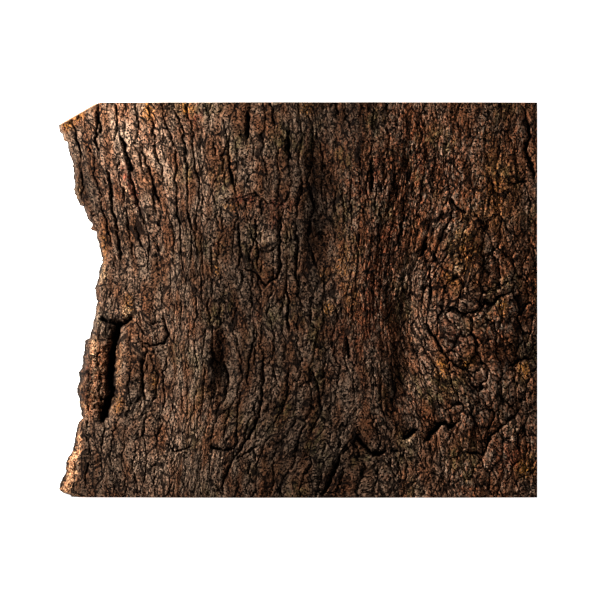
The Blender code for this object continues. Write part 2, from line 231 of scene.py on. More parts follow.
LEFT_CRACKS = (
    Crack(((-179, 167), (-175, 155), (-170, 137), (-166, 125)), 2.2, 6),
    Crack(((-204, 190), (-200, 177), (-199, 167)), 1.6, 5),
    Crack(((-194, 135), (-189, 120), (-187, 92), (-182, 70), (-179, 50), (-177, 35)), 1.6, 5),
    Crack(((-167, 125), (-164, 105), (-160, 92)), 1.4, 4),
    Crack(((-160, 160), (-154, 140), (-150, 130), (-142, 105), (-137, 95)), 1.4, 4),
    Crack(((-165, 75), (-159, 60), (-157, 52)), 1.1, 3),
    Crack(((-199, -16), (-194, -21), (-184, -24), (-177, -24), (-170, -20), (-165, -15)), 2.0, 8),
    Crack(((-137, -12), (-134, -25), (-131, -35), (-136, -44), (-150, -45), (-160, -42)), 1.4, 5),
    Crack(((-150, -24), (-137, -22)), 0.9, 3),
    Crack(((-165, -21), (-156, -30), (-154, -35)), 0.9, 3),
    Crack(((-180, -102), (-172, -105), (-162, -101), (-155, -95)), 0.8, 2.5),
    Crack(((-177, -112), (-167, -120), (-162, -122)), 0.8, 2.5),
    Crack(((-156, -57), (-157, -70), (-156, -90), (-154, -102)), 1.6, 5),
)


class Tint(Enum):
    """A colour that shows in places on the crust."""

    GOLD = 0
    RED = 1
    PALE = 2


PATCHES = {
    Tint.GOLD: (
        Swell(-232, 176, 1.0, 7, 6), Swell(-222, 184, 0.9, 14, 3.5, 0.62), Swell(-152, 190, 0.9, 5, 9),
        Swell(-113, 193, 0.9, 6, 8), Swell(6, 192, 0.8, 6, 7), Swell(-70, 94, 0.6, 6, 4),
        Swell(-83, 31, 1.0, 4, 5), Swell(24, 24, 0.9, 4, 5), Swell(29, -8, 1.0, 6, 6),
        Swell(45, 33, 0.55, 10, 16), Swell(52, 12, 0.45, 9, 30), Swell(203, -8, 1.0, 5, 8),
        Swell(152, 24, 0.6, 9, 9), Swell(165, 45, 0.5, 14, 26), Swell(141, -68, 0.8, 6, 10),
        Swell(167, -61, 0.8, 5, 6), Swell(225, -70, 0.8, 6, 8), Swell(226, -168, 1.0, 8, 9),
        Swell(110, -133, 0.7, 9, 3), Swell(239, 3, 1.0, 3, 13), Swell(195, 110, 0.4, 16, 40),
        Swell(-170, -6, 0.9, 5, 10), Swell(-146, -82, 0.7, 4, 8), Swell(-182, -103, 0.6, 7, 9),
        Swell(-222, 104, 0.6, 4, 11), Swell(-197, 46, 0.8, 4, 20),
    ),
    Tint.RED: (
        Swell(-228, 178, 0.7, 12, 4, 0.62), Swell(-105, 186, 0.8, 9, 10),
        Swell(-168, 112, 1.0, 4.5, 26, 0.35), Swell(-56, 101, 0.9, 16, 4.5, 0.1),
        Swell(-22, 96, 0.9, 14, 5), Swell(-26, 78, 0.7, 4, 12), Swell(-45, 52, 0.6, 6, 5),
        Swell(-43, -17, 0.6, 5, 6), Swell(76, 131, 1.0, 3.5, 12), Swell(66, 108, 0.7, 4, 6),
        Swell(62, -4, 0.5, 22, 46), Swell(88, 60, 0.4, 14, 50), Swell(50, -40, 0.4, 20, 40),
        Swell(172, 50, 0.6, 10, 22), Swell(156, -40, 0.6, 10, 12), Swell(214, -160, 0.8, 14, 12),
        Swell(118, 140, 0.35, 22, 40), Swell(-190, -70, 0.4, 3, 20), Swell(-210, -75, 0.7, 4, 18),
    ),
    Tint.PALE: (
        Swell(-171, 104, 0.5, 3, 9, 0.35), Swell(72, 138, 0.5, 2.5, 6), Swell(158, 31, 0.9, 4, 6),
        Swell(108, -140, 0.6, 8, 3), Swell(-173, -12, 1.0, 3.5, 7, 0.25), Swell(-199, -20, 0.9, 3.5, 3),
        Swell(-224, 108, 0.6, 3, 8), Swell(-198, 28, 0.7, 3, 12), Swell(-206, -55, 0.7, 2.5, 16),
    ),
}


@dataclass(frozen=True)
class Plates:
    """What a kind of plate gives at each place: how deep it is furrowed, from 0 to 1, how far
    the nearest furrow lies, in millimetres, and a number from 0 to 1 for the plate."""

    furrow: Field
    edge: Field
    number: Field


@dataclass(frozen=True)
class Ridges:
    """Long ridges side by side, each broken across into plates, in millimetres."""

    wide: float
    long: float
    seed: int
    wander: float
    slant: float
    half_width: float
    half_width_more: float

    def side(self, ridge: Field, y: Field) -> Field:
        """Gives where a ridge's left side lies, counted in ridges."""
        bend = noise(ridge * 5.37, y * 0.55, self.seed)
        bend = bend + 0.25 * noise(ridge * 3.1, y * 2.1, self.seed + 10)
        return ridge + self.wander * bend

    def lay(self, across: Field, along: Field) -> Plates:
        """Lays the ridges over the face.

        Args:
            across: Place across the grain, in millimetres.
            along: Place along the grain, in millimetres.

        Returns:
            The plates at each place.
        """
        x, y = across / self.wide, along / self.long
        ridge = np.floor(x)
        for _ in range(2):
            ridge = np.where(x < self.side(ridge, y), ridge - 1, ridge)
        for _ in range(2):
            ridge = np.where(x >= self.side(ridge + 1, y), ridge + 1, ridge)
        left, right = self.side(ridge, y), self.side(ridge + 1, y)
        to_side = np.maximum(np.minimum(x - left, right - x), 0) * self.wide
        nearest = np.where(x - left < right - x, ridge, ridge + 1)
        strength = 0.5 + 0.5 * noise(nearest * 9.7, y * 0.9, self.seed + 50)
        strength = np.clip(strength + 0.3 * noise(nearest * 4.3, y * 3, self.seed + 60), 0, 1)
        lean = (x - left) / np.maximum(right - left, 0.05) - 0.5
        to_break = np.full(x.shape, 1e9)
        break_strength = np.zeros(x.shape)
        plate_row = np.full(x.shape, -1e9)
        for more in (-1, 0, 1, 2):
            row = np.floor(y) + more
            tilt = (chance(ridge, row, self.seed + 30) - 0.5) * 2 * self.slant
            middle = row + 0.8 * (chance(ridge, row, self.seed + 20) - 0.5)
            middle = middle + tilt * lean * self.wide / self.long
            away = np.abs(y - middle) * self.long
            nearer = away < to_break
            to_break = np.where(nearer, away, to_break)
            break_strength = np.where(nearer, chance(ridge, row, self.seed + 40), break_strength)
            plate_row = np.where(middle <= y, np.maximum(plate_row, row), plate_row)
        wide_open = self.half_width + self.half_width_more * strength
        furrow = np.maximum(
            groove(to_side, wide_open) * (0.25 + 0.75 * step(0.22, 0.62, strength)),
            0.8 * groove(to_break, self.half_width) * step(0.25, 0.7, break_strength),
        )
        number = chance(ridge, plate_row, self.seed + 70)
        return Plates(furrow, np.minimum(to_side, to_break), number)


@dataclass(frozen=True)
class KnobblyPlates:
    """Many-sided plates round scattered middles, in millimetres."""

    wide: float
    long: float
    seed: int
    half_width: float

    def middle(self, i: Field, j: Field) -> tuple[Field, Field]:
        """Gives a plate's middle, counted in plates."""
        lift = chance(i, i * 0 + 7, self.seed + 1)
        at_x = i + 0.5 + 0.85 * (chance(i, j, self.seed) - 0.5)
        at_y = j + 0.5 + lift + 0.85 * (chance(i, j, self.seed + 2) - 0.5)
        return at_x, at_y

    def lay(self, across: Field, along: Field) -> Plates:
        """Lays the plates over the face.

        Args:
            across: Place across the grain, in millimetres.
            along: Place along the grain, in millimetres.

        Returns:
            The plates at each place.
        """
        x, y = across / self.wide, along / self.long
        column, row = np.floor(x), np.floor(y)
        cells = [(column + i, row + j) for i in (-1, 0, 1) for j in (-2, -1, 0, 1)]
        best = np.full(x.shape, 1e9)
        middle_x = middle_y = number = np.zeros(x.shape)
        for i, j in cells:
            at_x, at_y = self.middle(i, j)
            away = (x - at_x) ** 2 + (y - at_y) ** 2
            nearer = away < best
            best = np.where(nearer, away, best)
            middle_x = np.where(nearer, at_x, middle_x)
            middle_y = np.where(nearer, at_y, middle_y)
            number = np.where(nearer, chance(i, j, self.seed + 3), number)
        edge = np.full(x.shape, 1e9)
        for i, j in cells:
            at_x, at_y = self.middle(i, j)
            apart_x, apart_y = at_x - middle_x, at_y - middle_y
            apart = np.hypot(apart_x / self.wide, apart_y / self.long)
            same = apart < 1e-9
            past = ((at_x + middle_x) / 2 - x) * apart_x + ((at_y + middle_y) / 2 - y) * apart_y
            edge = np.where(same, edge, np.minimum(edge, past / np.where(same, 1, apart)))
        edge = np.maximum(edge, 0)
        wide_open = self.half_width * (0.7 + 0.6 * noise(across / 14, along / 18, self.seed + 4))
        return Plates(groove(edge, np.maximum(wide_open, 0.35)), edge, number)


@dataclass(frozen=True)
class TornEdge:
    """The torn left edge, seen from above, top to bottom, in millimetres."""

    line: tuple[Point, ...] = (
        (-243, 205), (-242, 174), (-241, 168.5), (-238.5, 167.5), (-237, 160), (-233.5, 159),
        (-231.5, 147), (-228, 138), (-226.5, 119), (-226, 106), (-222, 99), (-220.5, 95),
        (-217, 94.5), (-216, 90), (-213, 82), (-208.5, 77), (-210, 72), (-208.5, 70),
        (-204.5, 69.5), (-202, 56), (-198, 42), (-199, 36), (-201.5, 30), (-202, 22),
        (-206, 12), (-203.5, 0), (-206, -18), (-209, -30), (-211, -38), (-215.5, -40),
        (-217.5, -57), (-219, -69), (-222, -72), (-221, -79), (-224, -91), (-221.5, -100),
        (-219.5, -115), (-217.5, -118), (-222.5, -122.5), (-225.5, -136), (-227, -148),
        (-231, -155.5), (-235.5, -164), (-234.5, -172), (-239.5, -181), (-242.5, -190),
        (-239, -193), (-230, -196), (-228, -205),
    )
    roughness: float = 0.9
    rim: float = 7.0

    @property
    def furthest(self) -> float:
        """The leftmost place of the edge within the sawn sides."""
        return self.line[1][0]

    def at(self, y: Field) -> Field:
        """Gives where the edge lies at each height of the drawing."""
        edge_x = np.array([point[0] for point in reversed(self.line)], float)
        edge_y = np.array([point[1] for point in reversed(self.line)], float)
        ragged = step(172, 160, y)
        rough = self.roughness * noise(y / 6, y * 0, 62) + 0.7 * noise(y / 2.3, y * 0, 63)
        return np.interp(y, edge_y, edge_x) + ragged * rough

    def slope_width(self, y: Field) -> Field:
        """Gives how far the broken cork slopes in before the outer face begins."""
        width = 4.5 + 8 * (1 - step(-150, -118, y)) + 6 * (1 - step(-175, -145, y))
        width += 5 * step(-130, -110, y) * (1 - step(-40, -15, y))
        width += 3 * step(-12, 0, y) * (1 - step(45, 70, y))
        return width + 1.2 * noise(y / 11, y * 0, 64)


@dataclass(frozen=True)
class BranchScar:
    """The deep crevice over a lost branch, which leans left as it runs down, in millimetres."""

    line: tuple[Point, ...] = (
        (-178, -25), (-179, -30), (-183, -45), (-184.5, -60), (-185, -75), (-184, -90),
        (-184.5, -95), (-188.5, -100), (-190.5, -111), (-194, -120), (-197, -127),
    )
    profile: tuple[Point, ...] = (
        (-34, 0), (-27, 0.2), (-24, 1.4), (-20, 2.8), (-15, 5), (-10, 8.4), (-7.5, 13), (-5.5, 17),
        (-1, 18), (0.2, 12), (1.4, 8), (4, 5.2), (7.5, 2.4), (11, 0.7), (15, 0),
    )
    spread: tuple[Point, ...] = (
        (0.5, -22), (0.7, -36), (0.62, -44), (0.85, -60), (1.0, -75), (1.0, -98), (0.85, -108),
        (0.6, -124),
    )

    @staticmethod
    def along(points: tuple[Point, ...], y: Field) -> Field:
        """Reads a run of points, top to bottom, at each height of the drawing."""
        value, height = np.array(points, float)[::-1].T
        return np.interp(y, height, value)

    def beside(self, x: Field, y: Field) -> Field:
        """Gives how far right of the crevice's right lip each place lies."""
        wavy = 1.0 * noise(x * 0, y / 8, 71) + 0.5 * noise(x * 0, y / 2.7, 74)
        return x - self.along(self.line, y) - wavy

    def cut(self, x: Field, y: Field) -> Field:
        """Gives the crevice's depth, steep on its right and sloping on its left."""
        away = self.beside(x, y) - 1.6 * noise(x / 4, y / 4, 72) - 0.6 * noise(x / 1.8, y / 2.4, 73)
        away = np.where(away < 0, away / self.along(self.spread, y), away)
        ends = step(-130, -112, y) * (1 - step(-27, -17, y))
        place, depth = np.array(self.profile, float).T
        return ends * np.interp(away, place, depth)

    def bare_cork(self, x: Field, y: Field) -> Field:
        """Gives where the crevice's lips show bare tan cork, from 0 to 1."""
        away = self.beside(x, y)
        right = step(-2.5, 0.5, away) * (1 - step(3, 10, away))
        right = right * (0.3 + 0.7 * step(-96, -80, y)) * (1 - step(-48, -36, y))
        right = right * step(-116, -104, y) * (0.65 + 0.9 * noise(x / 3.5, y / 6, 76))
        left = 0.75 * np.exp(-((away + 25) / 3.5) ** 2) * step(-118, -100, y) * (1 - step(-44, -36, y))
        return np.clip(right + left * step(-0.2, 0.4, noise(x / 6, y / 8, 75)), 0, 1)

    def raw_flank(self, x: Field, y: Field) -> Field:
        """Gives where the crevice's left flank shows raw brown cork, from 0 to 1."""
        away = self.beside(x, y)
        flank = step(-27, -21, away) * (1 - step(-8, -3, away))
        return flank * step(-126, -112, y) * (1 - step(-46, -38, y))


@dataclass(frozen=True)
class Slab:
    """The slab's outline, cross-section, plates and tones, with the light and shade painted into its
    colour, in the drawing's millimetres.
    """

    right: float = 238.0
    top: float = 198.0
    bottom: float = -197.5
    corner_start: Point = (-200.4, 198.0)
    corner_end: Point = (-242.0, 174.0)
    corner_lean: float = 0.1
    corner_level: float = 27.0
    margin: float = 5.0
    crown: float = 45.0
    left_fall: float = 20.0
    right_fall: float = 12.0
    half_width: float = 222.0
    inner_arch: float = 17.0
    inner_half_width: float = 230.0
    inner_middle: float = 4.0
    inner_rim: float = 1.3
    feet: tuple[Point, ...] = ((216, 6), (-214, 150), (-218, -165))
    foot_reach: float = 24.0
    foot_depth: float = 1.3
    # The light and shade painted into the crust's colour: a fall-off across the slab, a shaded stretch
    # at the left and softer painted shades in places.
    light_across: tuple[Point, ...] = (
        (-240, 0.41), (-205, 0.55), (-185, 0.72), (-130, 0.75), (-95, 0.68), (-65, 0.47),
        (-20, 0.39), (15, 0.35), (55, 0.38), (90, 0.62), (115, 0.84), (200, 0.93), (240, 0.9),
    )
    shaded_left: float = 0.5
    shades: tuple[Swell, ...] = (
        Swell(20, -150, -0.28, 60, 60), Swell(18, 100, -0.42, 24, 60),
        Swell(-102, -110, 0.6, 32, 85), Swell(-60, 20, -0.28, 30, 110),
        Swell(55, 185, -0.45, 24, 30), Swell(140, -2, -0.3, 22, 26), Swell(182, 180, -0.3, 26, 26),
        Swell(100, -136, -0.42, 26, 40), Swell(-110, 165, -0.25, 26, 30),
        Swell(-222, 112, -0.5, 26, 50), Swell(12, 40, -0.32, 26, 40),
        Swell(-80, -115, 0.25, 44, 40), Swell(-150, -150, 0.45, 34, 45),
        Swell(-185, -95, -0.4, 25, 45), Swell(-62, -74, -0.35, 18, 30),
    )
    edge: TornEdge = TornEdge()
    scar: BranchScar = BranchScar()
    swells: tuple[Swell, ...] = (
        Swell(28, 80, -5.5, 20, 130), Swell(75, 20, 2.5, 28, 80),
        Swell(108, -40, -4.5, 16, 70, -0.1), Swell(172, -10, 6.0, 55, 85),
        Swell(-73, -74, -6.0, 12, 28), Swell(-105, -60, 4.0, 22, 110),
        Swell(-168, -65, 7.0, 34, 60), Swell(-130, 120, 3.0, 30, 70),
        Swell(55, -170, -3.0, 40, 25),
    )
    cracks: tuple[Crack, ...] = (
        LOWER_RIGHT_CRACKS + RIGHT_CRACKS + MIDDLE_CRACKS + LEFT_CRACKS
    )
    middle_plates: Ridges = Ridges(12.5, 27, 100, 0.6, 0.9, 0.4, 0.4)
    long_ridges: Ridges = Ridges(8.5, 46, 200, 0.75, 1.6, 0.4, 0.45)
    fan_ridges: Ridges = Ridges(13.5, 44, 250, 0.65, 1.2, 0.5, 0.6)
    knobbly_plates: KnobblyPlates = KnobblyPlates(13.5, 32, 3, 0.8)
    split_plates: Ridges = Ridges(6.2, 15, 400, 0.75, 1.0, 0.4, 0.25)
    crust_chips: Ridges = Ridges(3.4, 7.5, 300, 0.8, 1.0, 0.4, 0.2)

    def grain(self, x: Field, y: Field) -> Field:
        """Follows the grain, which fans out at the upper left and bends round the right swell.

        Args:
            x: Place across the slab.
            y: Place up the slab.

        Returns:
            How far across the grain each place lies.
        """
        bend = 26 * (1 - step(-135, -85, x)) * (1 - step(20, 205, y))
        bend -= 30 * np.exp(-((x + 35) / 85) ** 2) * (1 - step(-200, -70, y))
        bend -= 27 * np.exp(-((x - 128) / 56) ** 2) * np.exp(-((y + 5) / 80) ** 2)
        bend += 9 * np.exp(-((x - 95) / 40) ** 2) * (1 - step(-200, -60, y))
        bend += 9 * np.exp(-((x + 150) / 32) ** 2) * np.exp(-((y + 70) / 45) ** 2)
        bend += 3.0 * noise(x / 60, y / 90, 11) + 1.6 * noise(x / 22, y / 30, 12)
        return x - bend

    def fibrous(self, x: Field, y: Field) -> Field:
        """Gives where the bark is drawn out into fibres, from 0 to 1."""
        upper = Swell(95, 120, 1, 60, 90).share(x, y)
        lower = Swell(72, 10, 1, 28, 75).share(x, y)
        return np.clip(upper + lower, 0, 1)

    def fan(self, x: Field, y: Field) -> Field:
        """Gives where the long ridges of the upper left run, from 0 to 1."""
        return (1 - step(-115, -75, x)) * step(-5, 60, y)

    def rounded(self, x: Field, y: Field) -> Field:
        """Gives the height of the outer face without its plates."""
        z = self.crown - self.left_fall * np.clip((-20 - x) / self.half_width, 0, 2) ** 2
        z -= self.right_fall * np.clip((x - 20) / self.half_width, 0, 2) ** 2
        for swell in self.swells:
            z += swell.height * swell.share(x, y)
        return z + 2.2 * noise(x / 70, y / 110, 21) + 1.0 * noise(x / 30, y / 45, 22)

    def plates(self, x: Field, y: Field) -> tuple[Field, Field]:
        """Raises the plates and cuts the furrows between them.

        Args:
            x: Place across the slab.
            y: Place up the slab.

        Returns:
            The height that the plates add, and the depth of the furrows.
        """
        across = self.grain(x, y) + self.jog(x, y) + 0.9 * noise(x / 9, y / 9, 41)
        across += 0.5 * noise(x / 3.6, y / 3.6, 42)
        along = y + 3.4 * noise(x / 8, y / 9, 43) + 1.7 * noise(x / 3.2, y / 3.5, 44)
        fan = self.fan(x, y)
        drawn_out = np.clip(fan + 0.9 * self.fibrous(x, y), 0, 1)
        boss = Swell(185, -50, 1, 62, 120).share(x, y)
        knobbly = np.clip(1.5 * boss, 0, 1) * (1 - drawn_out)
        kinds = (
            (1 - drawn_out - knobbly, 2.4, 0.8, self.middle_plates.lay(across, along)),
            (drawn_out - fan, 2.8, 1.4, self.long_ridges.lay(across, along)),
            (fan, 3.4, 1.1, self.fan_ridges.lay(across, along)),
            (knobbly, 4.6, 2.0, self.knobbly_plates.lay(across, along)),
        )
        uneven = 1 + 0.5 * noise(x / 45, y / 60, 81)
        raised = np.zeros(x.shape)
        cut = np.zeros(x.shape)
        for share, depth, rise, laid in kinds:
            crowned = 0.2 * (1 - np.exp(-laid.edge / 0.6)) + rise * (laid.number - 0.5)
            raised += share * crowned
            cut += share * depth * uneven * laid.furrow
        split = self.split_plates.lay(across + 2.0 * noise(x / 16, y / 16, 49), along)
        open_here = 0.35 + 0.5 * noise(x / 28, y / 40, 82) + 0.25 * knobbly
        open_here += 0.5 * drawn_out - 0.3 * fan
        raised += 0.3 * (split.number - 0.5)
        cut = np.maximum(cut, 1.15 * np.clip(open_here, 0.1, 1) * split.furrow)
        return raised, cut

    def jog(self, x: Field, y: Field) -> Field:
        """Gives how far the furrows step sideways from tier to tier, as brittle cork breaks."""
        tier = y / 6 + 1.2 * noise(x / 12, y / 16, 57)
        row = np.floor(tier)
        before, here = (noise(x / 12, (row - i) * 7.31, 59) for i in (1, 0))
        return 3.0 * (before + (here - before) * step(0.0, 0.25, tier - row))

    def crust(self, x: Field, y: Field) -> Field:
        """Adds the fine relief: flakes that have lifted off, chips and fibres."""
        across = self.grain(x, y)
        fine_across = across + 0.7 * noise(x / 4, y / 4, 45)
        chips = self.crust_chips.lay(fine_across, y + 1.2 * noise(x / 4, y / 4, 46))
        fibre = 1 - np.abs(noise(across / 2.6, y / 20, 51) * 2)
        strength = 0.35 + 1.5 * self.fibrous(x, y) + 0.5 * self.fan(x, y)
        coarse = self.coarse(x, y)
        flaked = 0.28 * step(-0.05, 0.05, noise(fine_across / 6, y / 12, 55))
        flaked += 0.18 * coarse * step(-0.06, 0.06, noise(fine_across / 3.4, y / 6, 56))
        z = flaked + coarse ** 2 * (0.35 * (chips.number - 0.5) - 0.45 * chips.furrow)
        return z - 0.5 + 0.4 * strength * fibre

    def coarse(self, x: Field, y: Field) -> Field:
        """Gives how rough the crust is, from smooth plates at about 0.4 to fibres at 1."""
        rough = 0.4 + 0.55 * self.fibrous(x, y) + 0.15 * self.fan(x, y)
        rough += 0.3 * Swell(185, -30, 1, 70, 120).share(x, y) + 0.3 * noise(x / 20, y / 32, 93)
        return np.clip(rough, 0.3, 1)

    def followed_cracks(self, x: Field, y: Field) -> Field:
        """Gives the depth of the cracks whose courses are listed."""
        bent_x = x + 1.6 * noise(x / 7, y / 7, 31) + 0.8 * noise(x / 3, y / 3, 33)
        bent_y = y + 1.6 * noise(x / 7, y / 7, 32) + 0.8 * noise(x / 3, y / 3, 34)
        deepest = np.zeros(x.shape)
        for crack in self.cracks:
            near = crack.near(bent_x, bent_y)
            deepest[near] = np.maximum(deepest[near], crack.cut(bent_x[near], bent_y[near]))
        return deepest

    def inner(self, x: Field, y: Field) -> Field:
        """Gives the height of the inner face: a shallow arch with three low spots."""
        from_middle = (x - self.inner_middle) / self.inner_half_width
        z = self.inner_rim + self.inner_arch * np.clip(1 - from_middle ** 2, 0, 1)
        z += 0.7 * noise(x / 55, y / 80, 91) * step(230, 180, np.abs(x))
        for foot_x, foot_y in self.feet:
            near = Swell(foot_x, foot_y, 1, self.foot_reach, self.foot_reach).share(x, y)
            z -= near * (z + self.foot_depth)
        return z

    def tints(self, x: Field, y: Field) -> Field:
        """Gives how strongly each place shows each of the tints.

        Args:
            x: Place across the slab.
            y: Place up the slab.

        Returns:
            One column for each tint, from 0 to 1.
        """
        ragged_x = x + 3.0 * noise(x / 7, y / 7, 98)
        ragged_y = y + 4.0 * noise(x / 7, y / 9, 99)
        strength = np.zeros((x.size, len(Tint)))
        for tint, patches in PATCHES.items():
            column = strength[:, tint.value]
            for patch in patches:
                np.maximum(column, patch.height * patch.share(ragged_x, ragged_y), out=column)
        return strength

    def bare_cork(self, x: Field, y: Field) -> Field:
        """Gives where the crust has broken away from tan cork, from 0 to 1."""
        slope = 1 - self.torn(x, y)
        ragged = slope + 0.35 * noise(x / 5, y / 7, 68) + 0.2 * noise(x / 2.2, y / 3, 69)
        bare = step(0.2, 0.45, ragged) * np.minimum(6 * slope, 1) * step(-112, -150, y)
        bare = np.clip(bare + self.scar.bare_cork(x, y), 0, 1)
        edge_chips = step(0.15, 0.5, noise(x / 6, y / 11, 67)) * step(0.1, 0.6, slope)
        return np.clip(bare + 0.8 * edge_chips + 0.15 * self.scar.raw_flank(x, y), 0, 1)

    def rust(self, x: Field, y: Field) -> Field:
        """Gives where the crust is rust brown, from 0 to 1."""
        rust = 0.2 + 0.6 * self.fibrous(x, y) + 0.5 * step(40, 190, x)
        rust = np.clip(rust + 0.4 * noise(x / 30, y / 45, 96), 0, 1)
        return np.clip(rust + 0.5 * self.scar.raw_flank(x, y), 0, 1)

    def moss(self, x: Field, y: Field) -> Field:
        """Gives where a film of moss has tinted the crust, from 0 to 1."""
        return 0.5 * step(0.05, 0.6, noise(x / 30, y / 35, 97)) * step(-150, -100, x)

    def dried_out(self, x: Field, y: Field, bare: Field) -> Field:
        """Gives where the crust has dried and split into hairlines, which bare cork has not."""
        dry = 0.45 + 0.4 * noise(x / 40, y / 50, 95) + 0.4 * Swell(180, -40, 1, 70, 120).share(x, y)
        dry = dry + 0.3 * Swell(-150, -110, 1, 60, 60).share(x, y)
        return dry - bare - self.scar.raw_flank(x, y)

    def painted_light_and_shade(self, x: Field, y: Field, bare: Field) -> Field:
        """Gives the light and shade painted into the surface's colour from place to place, about 1 in
        full light.

        Args:
            x: Place across the slab.
            y: Place up the slab.
            bare: Where the surface is bare cork, from 0 to 1.

        Returns:
            The factor that the surface's colour is shaded by.
        """
        place, share = np.array(self.light_across, float).T
        light = np.interp(x + 8 * noise(x / 40, y / 60, 92), place, share)
        light *= 1 + 0.16 * noise(x / 24, y / 50, 94)
        light *= 1 - self.shaded_left * step(170, 60, y + 0.4 * (x + 150)) * step(30, -110, x)
        for shade in self.shades:
            light *= 1 + shade.height * shade.share(x, y)
        # Painted shade darkens the crust on the torn slope, painted light sets the bare cork low on the
        # torn edge and the scar's left flank to fixed levels, and painted shadow darkens the crevice's
        # depths and its left flank.
        light = light * (1 - 0.4 * (1 - self.torn(x, y)) * (1 - bare))
        light += (0.62 - light) * bare * step(-118, -150, y)
        light += (0.55 - light) * self.scar.raw_flank(x, y)
        crevice = self.scar.cut(x, y)
        shadow = step(4, 12, crevice) * (self.scar.beside(x, y) < 0)
        return light * (1 - 0.75 * np.maximum(step(9, 13, crevice), shadow))

    def torn(self, x: Field, y: Field) -> Field:
        """Gives how far each place lies in from the torn edge, from 0 to 1 over its slope."""
        return np.clip((x - self.edge.at(y)) / self.edge.slope_width(y), 0, 1)

    def outer(self, x: Field, y: Field) -> Field:
        """Gives the height of the outer face, down to the rim of the torn edge."""
        raised, cut = self.plates(x, y)
        cut = np.maximum(cut, self.followed_cracks(x, y))
        z = self.rounded(x, y) + raised - cut + self.crust(x, y) - self.scar.cut(x, y)
        rim = self.inner(x, y) + self.edge.rim
        inward = self.torn(x, y)
        round_over = 1 - (1 - inward) ** 1.8
        broken = (1 - inward) * inward * 4
        crumble = 1.6 * noise(x / 6, y / 8, 65) + 2.4 * noise(x / 3, y / 3.6, 66)
        return rim + (z - rim) * round_over + broken * crumble


def linear(code: str) -> Colour:
    """Turns an sRGB hex value into the linear colour that shaders take."""
    channels = [int(code[i:i + 2], 16) / 255 for i in (1, 3, 5)]
    red, green, blue = (c / 12.92 if c <= 0.04045 else ((c + 0.055) / 1.055) ** 2.4 for c in channels)
    return red, green, blue, 1.0


def add_node(
    tree: bpy.types.NodeTree, kind: str, feeds: dict | None = None, **settings: object,
) -> bpy.types.Node:
    """Adds one shader node with its settings and links.

    Args:
        tree: The node tree that the node joins.
        kind: The node's type without its ShaderNode prefix.
        feeds: For each input, by name or number, an output to link or a value to set.
        settings: The node's own options.

    Returns:
        The new node.
    """
    made = tree.nodes.new("ShaderNode" + kind)
    for name, value in settings.items():
        setattr(made, name, value)
    for socket, value in (feeds or {}).items():
        if isinstance(value, Socket):
            tree.links.new(value, made.inputs[socket])
        else:
            made.inputs[socket].default_value = value
    return made


